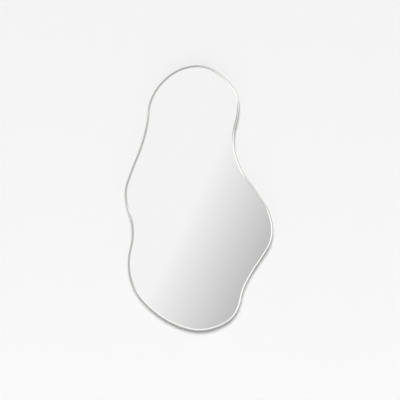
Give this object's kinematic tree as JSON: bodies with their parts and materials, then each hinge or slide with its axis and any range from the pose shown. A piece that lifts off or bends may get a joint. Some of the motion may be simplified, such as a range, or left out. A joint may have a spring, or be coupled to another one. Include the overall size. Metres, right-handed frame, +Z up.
{
  "type": "wall mirror",
  "caption": "Wall mirror of free, wavy outline: silvered glass in a bent polished steel rim, on a fibre board with clips, rubber bumpers and a pair of swinging D-ring hangers.",
  "frame": {"origin": "on the wall's surface, at the height where the hooks carry the rings, on the line through the mirror's centre of mass", "axes": "front looks along -Y, +Y into the wall, +X to the right as seen from the front, +Z up"},
  "size_m": [0.5022, 0.0239, 0.8997],
  "materials": {
    "rim_steel": "polished stainless steel",
    "silvered_glass": "polished float glass, silvered and painted on the back",
    "film": "thin safety film",
    "foam": "double-sided foam tape",
    "fibre_board": "medium-density fibre board, unpainted",
    "clip_steel": "zinc-plated steel",
    "screw_steel": "zinc-plated steel",
    "hanger_steel": "nickel-plated steel",
    "ring_wire": "nickel-plated wire",
    "bumper_rubber": "moulded rubber",
    "block_rubber": "cut rubber strip"
  },
  "bodies": {
    "mirror": {"frame_rim": "rim_steel", "mirror_pane": "silvered_glass", "safety_film": "film", "foam_tape_1": "foam", "foam_tape_2": "foam", "foam_tape_3": "foam", "foam_tape_4": "foam", "foam_tape_5": "foam", "back_board": "fibre_board", "setting_block_left": "block_rubber", "setting_block_right": "block_rubber", "clip_1": "clip_steel", "clip_2": "clip_steel", "clip_3": "clip_steel", "clip_4": "clip_steel", "clip_5": "clip_steel", "clip_6": "clip_steel", "clip_7": "clip_steel", "clip_8": "clip_steel", "clip_9": "clip_steel", "clip_10": "clip_steel", "clip_screws": "screw_steel", "hanger_strap_left": "hanger_steel", "hanger_strap_right": "hanger_steel", "hanger_screws": "screw_steel", "bumper_1": "bumper_rubber", "bumper_2": "bumper_rubber", "bumper_3": "bumper_rubber", "bumper_4": "bumper_rubber"},
    "ring_left": {"hanger_ring_left": "ring_wire"},
    "ring_right": {"hanger_ring_right": "ring_wire"}
  },
  "joints": [
    {"name": "ring_left_swing", "type": "hinge", "parent": "mirror", "child": "ring_left", "pos_m": [-0.1, -0.00542, -0.01398], "axis": [-1, 0, 0], "range_deg": [0, 177]},
    {"name": "ring_right_swing", "type": "hinge", "parent": "mirror", "child": "ring_right", "pos_m": [0.1, -0.00542, -0.01398], "axis": [-1, 0, 0], "range_deg": [0, 177]}
  ]
}
